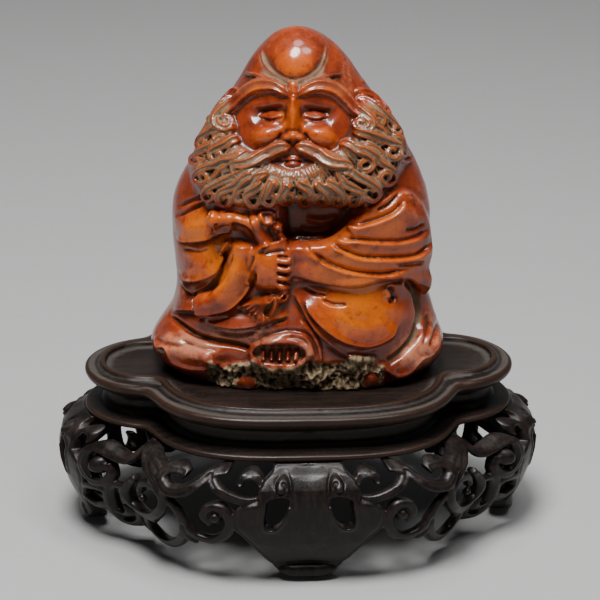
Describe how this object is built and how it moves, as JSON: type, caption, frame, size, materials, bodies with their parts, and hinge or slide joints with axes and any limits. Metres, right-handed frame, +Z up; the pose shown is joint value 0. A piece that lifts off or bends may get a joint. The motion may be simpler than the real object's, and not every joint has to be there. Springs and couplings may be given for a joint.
{
  "type": "seated figure carving on stand",
  "caption": "Small seated, hooded and curly-bearded robed figure carved in glossy orange-red wood, resting on a dark lobed tray stand with a pierced scrollwork apron and bracket feet.",
  "frame": {"origin": "on the floor, under the middle of the stand's box", "axes": "+Z up along the height, which is the longest extent; +X along the stand's length, to the right as seen from the front; the front faces -Y, and Y is the shortest extent"},
  "size_m": [0.1222, 0.085, 0.1276],
  "materials": {
    "root_wood": "polished",
    "dark_hardwood": "semi-gloss"
  },
  "bodies": {
    "root": {"carved_figure": "root_wood", "stand_top": "dark_hardwood", "stand_apron": "dark_hardwood"}
  },
  "joints": []
}
